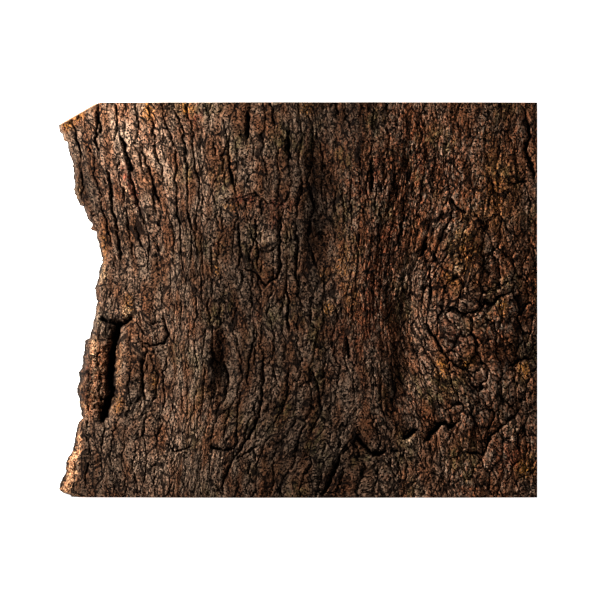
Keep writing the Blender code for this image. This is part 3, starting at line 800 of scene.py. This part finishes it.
@dataclass
class Palette:
    """Nodes of one material, with the few moves that its finish is painted by."""

    tree: bpy.types.NodeTree

    @classmethod
    def start(cls, name: str) -> tuple[bpy.types.Material, "Palette"]:
        """Makes an empty material of that name and its palette."""
        material = bpy.data.materials.new(name)
        material.use_nodes = True
        material.node_tree.nodes.clear()
        return material, cls(material.node_tree)

    def attribute(self, name: str) -> Socket:
        """Reads one of the piece's own vector attributes."""
        return add_node(self.tree, "Attribute", attribute_name=name).outputs["Vector"]

    def stretched(self, vector: Socket, across: float, along: float, through: float) -> Socket:
        """Scales a place in metres so that one unit is a pattern's size in millimetres."""
        scale = (1 / (across * MM), 1 / (along * MM), 1 / (through * MM))
        feeds = {"Vector": vector, "Scale": scale}
        return add_node(self.tree, "Mapping", feeds).outputs["Vector"]

    def warped(self, vector: Socket, wave: float, reach: float) -> Socket:
        """Bends a place in metres about by noise, both sizes given in millimetres."""
        feeds = {"Vector": self.stretched(vector, wave, wave, wave), "Scale": 1.0, "Detail": 1.0}
        noise_colour = add_node(self.tree, "TexNoise", feeds).outputs["Color"]
        feeds = {0: noise_colour, 1: (0.5, 0.5, 0.5)}
        centred = add_node(self.tree, "VectorMath", feeds, operation="SUBTRACT").outputs["Vector"]
        feeds = {0: centred, 1: (2 * reach * MM,) * 3, 2: vector}
        return add_node(self.tree, "VectorMath", feeds, operation="MULTIPLY_ADD").outputs["Vector"]

    def parts(self, vector: Socket) -> tuple[Socket, ...]:
        """Splits a vector or a colour into its three numbers."""
        return tuple(add_node(self.tree, "SeparateXYZ", {0: vector}).outputs)

    def chip_edge(self, place: Socket, sizes: Sizes) -> Socket:
        """Gives how far each place is from the edge of its chip, counted in chips."""
        feeds = {"Vector": self.stretched(place, *sizes), "Scale": 1.0}
        return add_node(self.tree, "TexVoronoi", feeds, feature="DISTANCE_TO_EDGE").outputs["Distance"]

    def chip_number(self, place: Socket, sizes: Sizes) -> Socket:
        """Gives a random number from 0 to 1 for each chip."""
        feeds = {"Vector": self.stretched(place, *sizes), "Scale": 1.0}
        return self.parts(add_node(self.tree, "TexVoronoi", feeds).outputs["Color"])[0]

    def shade(self, colour: Socket, value: Socket) -> Socket:
        """Makes a colour darker or lighter by a factor."""
        feeds = {0: colour, "Scale": value}
        return add_node(self.tree, "VectorMath", feeds, operation="SCALE").outputs["Vector"]

    def total(self, *terms: tuple[float, Socket]) -> Socket:
        """Adds values up, each with its weight."""
        weight, value = terms[0]
        made = self.math("MULTIPLY", value, weight)
        for weight, value in terms[1:]:
            feeds = {0: value, 1: weight, 2: made}
            made = add_node(self.tree, "Math", feeds, operation="MULTIPLY_ADD").outputs[0]
        return made

    def clouds(self, place: Socket, sizes: Sizes, detail: float, low: float = 0.35,
               high: float = 0.65) -> Socket:
        """Spreads noise of those sizes over a place, with its contrast drawn out to 0 and 1."""
        vector = self.stretched(place, *sizes)
        feeds = {"Vector": vector, "Scale": 1.0, "Detail": detail, "Roughness": 0.6}
        made = add_node(self.tree, "TexNoise", feeds).outputs["Fac"]
        return self.ramp(made, low, high)

    def ramp(self, value: Socket, low: float, high: float) -> Socket:
        """Draws a value out so that low becomes 0 and high becomes 1."""
        feeds = {"Value": value, "From Min": low, "From Max": high}
        return add_node(self.tree, "MapRange", feeds, interpolation_type="SMOOTHSTEP").outputs["Result"]

    def math(self, operation: str, first: object, second: object = 0.0) -> Socket:
        """Does a sum on two values or outputs."""
        feeds = {0: first, 1: second}
        return add_node(self.tree, "Math", feeds, operation=operation).outputs[0]

    def over(self, below: object, above: object, share: object) -> Socket:
        """Lays one colour over another by a share from 0 to 1."""
        # A mix of colours takes its share and its two colours at these numbers.
        feeds = {0: share, 6: below, 7: above}
        return add_node(self.tree, "Mix", feeds, data_type="RGBA").outputs[2]

    def tinted(self, colour: object, code: str, pattern: Socket, share: object) -> Socket:
        """Lays a tint over a colour where a pattern shows, as strongly as its share says."""
        return self.over(colour, linear(code), self.math("MULTIPLY", pattern, share))

    def bump(self, height: Socket, depth: float, below: Socket | None = None) -> Socket:
        """Raises a fine relief of that depth in millimetres, on top of one below it."""
        feeds = {"Height": height, "Distance": depth * MM, "Strength": 1.0}
        if below is not None:
            feeds["Normal"] = below
        return add_node(self.tree, "Bump", feeds).outputs["Normal"]

    def finish(self, colour: Socket, roughness: float, normal: Socket, gloss: float) -> None:
        """Closes the material with its shader."""
        feeds = {
            "Base Color": colour, "Roughness": roughness, "Normal": normal,
            "Specular IOR Level": gloss, "IOR": 1.5,
        }
        shader = add_node(self.tree, "BsdfPrincipled", feeds)
        add_node(self.tree, "OutputMaterial", {"Surface": shader.outputs["BSDF"]})


@dataclass(frozen=True)
class WeatheredCrust:
    """Outer cork as the tree wore it: a matte grey-brown crust, rust brown where it has split,
    with bare tan cork where it broke. Its colour is shaded by painted light and shade, and is
    nearly black down in the furrows and cracks, partly the cork's own dark and partly painted shade."""

    grey: str = "#867363"
    brown: str = "#694a36"
    umber: str = "#422d1f"
    rust: str = "#7d4a2f"
    red: str = "#74382a"
    gold: str = "#b47a36"
    moss: str = "#5d5a38"
    # Near black laid in the furrows and cracks: partly the cork's own dark, partly painted shade.
    crevice_dark_and_shade: str = "#090504"
    tan: str = "#b4825a"
    pale: str = "#eccaa2"
    roughness: float = 0.95
    gloss: float = 0.06

    def make(self) -> bpy.types.Material:
        """Builds the material.

        Returns:
            The finished material.
        """
        material, paint = Palette.start("weathered virgin cork crust")
        straight = paint.attribute("grain")
        grain = paint.warped(straight, 5, 1.0)
        # The relief attribute carries painted shade in the furrows, a crest lightening that is partly
        # wear and partly a painted highlight, and the painted light and shade across the slab.
        furrow, crest_wear_and_highlight, light = paint.parts(paint.attribute("relief"))
        bare, rust, moss = paint.parts(paint.attribute("tone"))
        gold, red, pale = paint.parts(paint.attribute("tint"))
        # The sizes are a plate, a flake, a fibre, a splinter, grit and a granule, in millimetres.
        # Cork's grit and granules are finer than half a millimetre, and are drawn three times
        # as coarse to show.
        plate = paint.clouds(grain, (15, 40, 15), 1)
        flake = paint.clouds(grain, (5, 13, 6), 2)
        fibre = paint.clouds(grain, (1.9, 6, 4), 3)
        splinter = paint.clouds(grain, (1.2, 2.6, 2), 1, 0.42, 0.58)
        grit = paint.clouds(grain, (1.25, 1.3, 1.3), 0, 0.43, 0.57)
        granule = paint.chip_number(grain, (1.15, 1.4, 1.3))
        chip = paint.chip_number(grain, (4.4, 9, 6))
        chip_edge = paint.chip_edge(grain, (4.4, 9, 6))
        split_edge = paint.chip_edge(paint.warped(straight, 3, 0.5), (8, 19, 40))
        coarse, split, _ = paint.parts(paint.attribute("wear"))
        crack = paint.math("MULTIPLY", paint.ramp(chip_edge, 0.1, 0.02), coarse)
        dry = paint.math("ADD", paint.clouds(grain, (9, 16, 12), 1), split)
        dry = paint.ramp(dry, 0.7, 1.0)
        hairline = paint.math("MULTIPLY", paint.ramp(split_edge, 0.072, 0.045), dry)

        colour = paint.over(linear(self.brown), linear(self.grey), plate)
        colour = paint.tinted(colour, self.umber, flake, 0.35)
        colour = paint.tinted(colour, self.rust, fibre, rust)
        colour = paint.tinted(colour, self.moss, flake, moss)
        colour = paint.tinted(colour, self.red, fibre, red)
        colour = paint.tinted(colour, self.gold, splinter, gold)
        cork = paint.over(linear(self.umber), linear(self.tan), paint.total((0.75, grit), (0.5, flake)))
        cork = paint.tinted(cork, self.pale, splinter, 0.4)
        cork = paint.tinted(cork, self.rust, fibre, 0.7)
        colour = paint.over(colour, cork, bare)
        colour = paint.tinted(colour, self.pale, grit, pale)
        fine = paint.math("MULTIPLY", fibre, coarse)
        # The crest share makes raised places lighter, partly as wear and partly as a painted highlight.
        value = paint.total((0.2, splinter), (0.2, fine), (3.2, granule), (0.1, chip), (0.2, crest_wear_and_highlight))
        value = paint.math("MAXIMUM", paint.math("SUBTRACT", value, 0.65), 0.05)
        value = paint.math("POWER", value, 1.15)
        # Painted light and shade: the colour is shaded by the light factor stored on the mesh.
        colour = paint.shade(colour, paint.math("MULTIPLY", value, light))
        # Painted shade: chip cracks, hairlines and furrows are laid nearly black, partly the cork's own
        # dark and partly the shade in the crevices.
        colour = paint.tinted(colour, self.crevice_dark_and_shade, crack, 0.8)
        colour = paint.tinted(colour, self.crevice_dark_and_shade, hairline, 0.9)
        colour = paint.over(colour, linear(self.crevice_dark_and_shade), furrow)
        height = paint.total(
            (0.2, fine), (0.2, splinter), (0.8, granule), (-0.6, crack), (0.1, chip), (-0.9, hairline),
        )
        normal = paint.bump(height, 1.0)
        paint.finish(colour, self.roughness, normal, self.gloss)
        return material


@dataclass(frozen=True)
class SawnCork:
    """Cork cut by a saw: tan, soft and matte, in yearly layers, with dark pores that run
    through the thickness and faint upright saw marks. Below the crown, the dark crust begins
    and is full at those depths in millimetres, with a ragged border."""

    cork: str = "#ad8156"
    layer: str = "#7f583a"
    pore: str = "#3a2215"
    crust: str = "#3d271b"
    roughness: float = 0.85
    gloss: float = 0.3
    layer_thickness: float = 3.2
    crust_begins: float = 7.0
    crust_full: float = 3.0
    crust_ragged: float = 7.0

    def make(self, slab: Slab) -> bpy.types.Material:
        """Builds the material.

        Args:
            slab: The slab, whose arch the yearly layers follow.

        Returns:
            The finished material.
        """
        material, paint = Palette.start("sawn cork")
        place = add_node(paint.tree, "TexCoord").outputs["Object"]
        axes = add_node(paint.tree, "SeparateXYZ", {0: place}).outputs
        drop = slab.inner_arch * MM / (slab.inner_half_width * MM) ** 2
        square = paint.math("MULTIPLY", axes["X"], axes["X"])
        level = paint.math("ADD", axes["Z"], paint.math("MULTIPLY", square, drop))
        flat = add_node(paint.tree, "CombineXYZ", {0: axes["X"], 1: axes["Y"], 2: level}).outputs[0]
        layers = paint.clouds(flat, (90, 90, self.layer_thickness), 2, 0.3, 0.7)
        pores = paint.clouds(flat, (1.8, 1.8, 8), 2, 0.58, 0.66)
        grit = paint.clouds(place, (0.9, 0.9, 0.9), 3)
        marks = paint.clouds(place, (1.3, 1.3, 60), 1)
        colour = paint.over(linear(self.cork), linear(self.layer), layers)
        colour = paint.tinted(colour, self.pore, pores, 0.8)
        colour = paint.tinted(colour, self.layer, grit, 0.4)
        ragged = paint.math("MULTIPLY", paint.clouds(place, (8, 8, 6), 3), self.crust_ragged * MM)
        begins, full = ((slab.crown - depth) * MM for depth in (self.crust_begins, self.crust_full))
        crust = paint.ramp(paint.math("ADD", level, ragged), begins, full)
        colour = paint.tinted(colour, self.crust, crust, 0.9)
        colour = paint.tinted(colour, self.pore, crust, grit)
        normal = paint.bump(marks, 0.15)
        normal = paint.bump(paint.math("SUBTRACT", grit, pores), 0.3, normal)
        paint.finish(colour, self.roughness, normal, self.gloss)
        return material


@dataclass(frozen=True)
class InnerCork:
    """The smooth inner face that lay against the living wood: tan brown, with fine ribs along
    the grain, small pits and darker stains."""

    cork: str = "#a87f57"
    stain: str = "#6f4a31"
    pit: str = "#3a2416"
    roughness: float = 0.75
    gloss: float = 0.35

    def make(self) -> bpy.types.Material:
        """Builds the material.

        Returns:
            The finished material.
        """
        material, paint = Palette.start("inner cork face")
        place = add_node(paint.tree, "TexCoord").outputs["Object"]
        stains = paint.clouds(place, (50, 110, 50), 4)
        ribs = paint.clouds(place, (2.2, 45, 10), 3)
        pits = paint.clouds(place, (1.5, 3.2, 2), 2, 0.64, 0.74)
        colour = paint.tinted(linear(self.cork), self.stain, stains, 0.7)
        colour = paint.tinted(colour, self.stain, ribs, 0.5)
        colour = paint.tinted(colour, self.pit, pits, 0.8)
        normal = paint.bump(ribs, 0.5)
        normal = paint.bump(paint.math("SUBTRACT", 1.0, pits), 0.6, normal)
        paint.finish(colour, self.roughness, normal, self.gloss)
        return material


def box_blur(z: Field, reach: int) -> Field:
    """Averages a grid of heights over a square of twice the reach, twice over.

    Args:
        z: The heights, by row and column.
        reach: How many cells the square reaches each way.

    Returns:
        The averaged heights.
    """
    width = 2 * reach + 1
    for _ in range(2):
        for axis in (0, 1):
            pad = [(reach + 1, reach) if i == axis else (0, 0) for i in (0, 1)]
            total = np.cumsum(np.pad(z, pad, mode="edge"), axis=axis)
            ahead = np.take(total, range(width, total.shape[axis]), axis=axis)
            behind = np.take(total, range(total.shape[axis] - width), axis=axis)
            z = (ahead - behind) / width
    return z


def read_vectors(items: bpy.types.bpy_prop_collection, name: str) -> Field:
    """Reads a vector of each point or face of a mesh, as rows of three numbers."""
    flat = np.empty(3 * len(items), np.float32)
    items.foreach_get(name, flat)
    return flat.reshape(-1, 3).astype(float)


@dataclass
class BarkSlab:
    """The whole piece of bark."""

    slab: Slab
    cell_x: float = 0.72
    cell_y: float = 1.0
    triangles: int = 188_000
    near_cells: int = 3
    wide_cells: int = 9
    sawn_within: float = 0.02

    def __post_init__(self) -> None:
        """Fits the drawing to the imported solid."""
        low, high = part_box("bark")
        self.offset = (
            high[0] / MM - self.slab.right,
            high[1] / MM - self.slab.top,
            low[2] / MM,
        )

    def sheet(self) -> bpy.types.Object:
        """Adds the grid that the body grows from, and gives it a thickness."""
        self.low_y = self.slab.bottom - self.slab.margin
        self.high_y = self.slab.top + self.slab.margin
        self.far_x = self.slab.right + self.slab.margin
        self.columns = round((self.far_x - self.slab.edge.furthest) / self.cell_x)
        self.rows = round((self.high_y - self.low_y) / self.cell_y)
        bpy.ops.object.select_all(action="DESELECT")
        bpy.ops.mesh.primitive_grid_add(x_subdivisions=self.columns, y_subdivisions=self.rows, size=1)
        body = bpy.context.active_object
        body.name = body.data.name = "bark_slab"
        solidify = body.modifiers.new("thickness", "SOLIDIFY")
        solidify.thickness = 1.0
        solidify.offset = 1.0
        bpy.ops.object.modifier_apply(modifier=solidify.name)
        return body

    def grow(self, body: bpy.types.Object) -> None:
        """Shapes the outer and inner faces by the drawing's formulas."""
        u, v, level = read_vectors(body.data.vertices, "co").T
        y = self.low_y + (v + 0.5) * (self.high_y - self.low_y)
        left = self.slab.edge.at(y)
        x = left + (u + 0.5) * (self.far_x - left)
        above = level > 0.5
        z = np.empty(len(level))
        z[above] = self.slab.outer(x[above], y[above])
        z[~above] = self.slab.inner(x[~above], y[~above])
        body.data.vertices.foreach_set("co", (np.stack((x, y, z), axis=1) * MM).ravel())
        body.data.update()
        i = np.rint((u[above] + 0.5) * self.columns).astype(int)
        j = np.rint((v[above] + 0.5) * self.rows).astype(int)
        self.heights = np.zeros((self.rows + 1, self.columns + 1))
        self.heights[j, i] = z[above]

    def thin_out(self, body: bpy.types.Object) -> None:
        """Leaves fewer faces, most of them where the relief is strongest."""
        decimate = body.modifiers.new("fewer faces", "DECIMATE")
        decimate.ratio = self.triangles / (2 * len(body.data.polygons))
        bpy.ops.object.modifier_apply(modifier=decimate.name)

    def saw(self, body: bpy.types.Object) -> None:
        """Cuts the straight sides and flattens the low spots that the slab rests on."""
        (x0, y0), (x1, y1) = self.slab.corner_start, self.slab.corner_end
        lean = self.slab.corner_lean * math.hypot(x1 - x0, y1 - y0)
        planes = (
            ((self.slab.right, 0, 0), (1, 0, 0)),
            ((0, self.slab.top, 0), (0, 1, 0)),
            ((0, self.slab.bottom, 0), (0, -1, 0)),
            ((x0, y0, self.slab.corner_level), (y1 - y0, x0 - x1, lean)),
            ((0, 0, 0), (0, 0, -1)),
        )
        bpy.ops.object.mode_set(mode="EDIT")
        for point, outward in planes:
            bpy.ops.mesh.select_all(action="SELECT")
            bpy.ops.mesh.bisect(
                plane_co=[value * MM for value in point], plane_no=Vector(outward).normalized(),
                use_fill=True, clear_outer=True, threshold=1e-7,
            )
        bpy.ops.mesh.select_all(action="SELECT")
        bpy.ops.mesh.quads_convert_to_tris(ngon_method="BEAUTY")
        # A face that hangs on by one edge only is taken off.
        bpy.ops.mesh.select_mode(type="EDGE")
        bpy.ops.mesh.select_all(action="DESELECT")
        bpy.ops.mesh.select_non_manifold(
            use_wire=True, use_boundary=True, use_multi_face=False, use_non_contiguous=False,
            use_verts=False,
        )
        bpy.ops.mesh.delete(type="EDGE")
        bpy.ops.mesh.select_all(action="SELECT")
        bpy.ops.mesh.delete_loose()
        bpy.ops.mesh.normals_make_consistent(inside=False)
        bpy.ops.object.mode_set(mode="OBJECT")

    def places(self, body: bpy.types.Object) -> tuple[Field, Field, Field]:
        """Gives where the mesh's points lie in the drawing, in millimetres."""
        x, y, z = read_vectors(body.data.vertices, "co").T / MM
        return x, y, z

    def sampled(self, heights: Field, x: Field, y: Field) -> Field:
        """Reads a grid of heights at places of the drawing."""
        left = self.slab.edge.at(y)
        u = (x - left) / (self.far_x - left) * self.columns
        v = (y - self.low_y) / (self.high_y - self.low_y) * self.rows
        i = np.clip(np.floor(u).astype(int), 0, self.columns - 1)
        j = np.clip(np.floor(v).astype(int), 0, self.rows - 1)
        across, along = np.clip(u - i, 0, 1), np.clip(v - j, 0, 1)
        low = heights[j, i] * (1 - across) + heights[j, i + 1] * across
        high = heights[j + 1, i] * (1 - across) + heights[j + 1, i + 1] * across
        return low * (1 - along) + high * along

    def mark(self, body: bpy.types.Object) -> None:
        """Stores the grain, the relief with its painted shade, painted highlight and painted light, and
        the tones that the crust's finish reads.
        """
        x, y, z = self.places(body)
        near = self.sampled(box_blur(self.heights, self.near_cells), x, y)
        wide = self.sampled(box_blur(self.heights, self.wide_cells), x, y)
        # Painted shade darkens the furrows where the surface lies below its surroundings, and the crest
        # lightens where it stands above them, partly as wear and partly as a painted highlight.
        furrow = step(0.7, 1.8, np.maximum(near - z, 0.65 * (wide - z)))
        crest_wear_and_highlight = step(0.1, 1.4, z - near)
        bare = self.slab.bare_cork(x, y)
        for name, columns in (
            ("grain", (self.slab.grain(x, y) * MM, y * MM, z * MM)),
            ("relief", (furrow, crest_wear_and_highlight, self.slab.painted_light_and_shade(x, y, bare))),
            ("tone", (bare, self.slab.rust(x, y), self.slab.moss(x, y))),
            ("tint", self.slab.tints(x, y).T),
            ("wear", (self.slab.coarse(x, y), self.slab.dried_out(x, y, bare), 0 * x)),
        ):
            attribute = body.data.attributes.new(name, "FLOAT_VECTOR", "POINT")
            values = np.stack(columns, axis=1).astype(np.float32)
            attribute.data.foreach_set("vector", values.ravel())

    def dress(self, body: bpy.types.Object) -> None:
        """Gives the outer face, the sawn sides and the inner face their finishes."""
        for finish in (WeatheredCrust().make(), SawnCork().make(self.slab), InnerCork().make()):
            body.data.materials.append(finish)
        facing_up = read_vectors(body.data.polygons, "normal")[:, 2]
        x, y, z = read_vectors(body.data.polygons, "center").T / MM
        (x0, y0), (x1, y1) = self.slab.corner_start, self.slab.corner_end
        run = math.hypot(x1 - x0, y1 - y0)
        off_corner = ((x - x0) * (y1 - y0) + (y - y0) * (x0 - x1)) / run
        off_corner += (z - self.slab.corner_level) * self.slab.corner_lean
        from_sides = (x - self.slab.right, y - self.slab.top, y - self.slab.bottom, off_corner)
        sawn = np.min(np.abs(from_sides), axis=0) < self.sawn_within
        inside = (facing_up < -0.5) & (z < self.slab.inner(x, y) + 2)
        slots = np.where(sawn, 1, np.where(inside, 2, 0))
        body.data.polygons.foreach_set("material_index", slots.astype(np.int32))

    def place(self, body: bpy.types.Object) -> None:
        """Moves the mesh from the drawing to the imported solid's place."""
        x, y, z = self.places(body)
        points = np.stack((x + self.offset[0], y + self.offset[1], z + self.offset[2]), axis=1) * MM
        body.data.vertices.foreach_set("co", points.ravel())
        body.data.update()

    def build(self) -> bpy.types.Object:
        """Builds, finishes and places the slab.

        Returns:
            The finished piece.
        """
        body = self.sheet()
        self.grow(body)
        self.thin_out(body)
        self.saw(body)
        self.mark(body)
        self.dress(body)
        self.place(body)
        bpy.ops.object.shade_smooth_by_angle(angle=math.radians(75))
        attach(body, "root")
        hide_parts("bark")
        LOG.info("bark slab: %d triangles", len(body.data.polygons))
        return body


@dataclass
class Studio:
    """A pale floor, soft light from the left and a camera that looks straight down."""

    frame_width: float = 0.600
    camera_height: float = 6.0
    camera_right: float = 0.0025
    face_level: float = 0.040
    sensor: float = 36.0

    def floor(self) -> None:
        """Lays the pale floor."""
        material, paint = Palette.start("white studio floor")
        white = linear("#ffffff")
        feeds = {
            "Base Color": white, "Roughness": 1.0, "Specular IOR Level": 0.0,
            "Emission Color": white, "Emission Strength": 1.0,
        }
        shader = add_node(paint.tree, "BsdfPrincipled", feeds)
        add_node(paint.tree, "OutputMaterial", {"Surface": shader.outputs["BSDF"]})
        bpy.ops.object.select_all(action="DESELECT")
        bpy.ops.mesh.primitive_plane_add(size=12)
        floor = bpy.context.active_object
        floor.name = "studio_floor"
        floor.data.materials.append(material)

    def lamp(self, name: str, place: tuple[float, float, float], size: float, watts: float,
             colour: str = "#ffffff") -> None:
        """Hangs a square soft light that faces the middle of the slab."""
        data = bpy.data.lights.new(name, "AREA")
        data.shape = "SQUARE"
        data.size = size
        data.energy = watts
        data.color = linear(colour)[:3]
        lamp = bpy.data.objects.new(name, data)
        bpy.context.scene.collection.objects.link(lamp)
        lamp.location = place
        toward = -lamp.location
        lamp.rotation_euler = toward.to_track_quat("-Z", "Y").to_euler()

    def light(self) -> None:
        """Sets a low key light at the left, a weak fill and a pale world."""
        self.lamp("key light", (-0.66, 0.22, 0.30), 0.12, 19, "#fff2e6")
        self.lamp("fill light", (0.5, -0.3, 1.6), 1.2, 2.2)
        world = bpy.data.worlds.new("pale room")
        world.use_nodes = True
        background = world.node_tree.nodes["Background"]
        background.inputs["Color"].default_value = linear("#ffffff")
        background.inputs["Strength"].default_value = 0.07
        bpy.context.scene.world = world

    def camera(self) -> None:
        """Hangs the camera straight above, with the slab as wide as in the photograph."""
        data = bpy.data.cameras.new("camera")
        data.sensor_width = self.sensor
        data.lens = self.sensor * (self.camera_height - self.face_level) / self.frame_width
        camera = bpy.data.objects.new("camera", data)
        bpy.context.scene.collection.objects.link(camera)
        camera.location = (self.camera_right, 0.0, self.camera_height)
        bpy.context.scene.camera = camera
        bpy.context.scene.view_settings.view_transform = "Standard"

    def build(self) -> None:
        """Sets up the whole studio."""
        self.floor()
        self.light()
        self.camera()


def main() -> None:
    """Builds the piece of bark and its studio."""
    logging.basicConfig(level=logging.INFO, format="%(name)s: %(message)s")
    Studio().build()
    BarkSlab(Slab()).build()


if __name__ == "__main__":
    main()
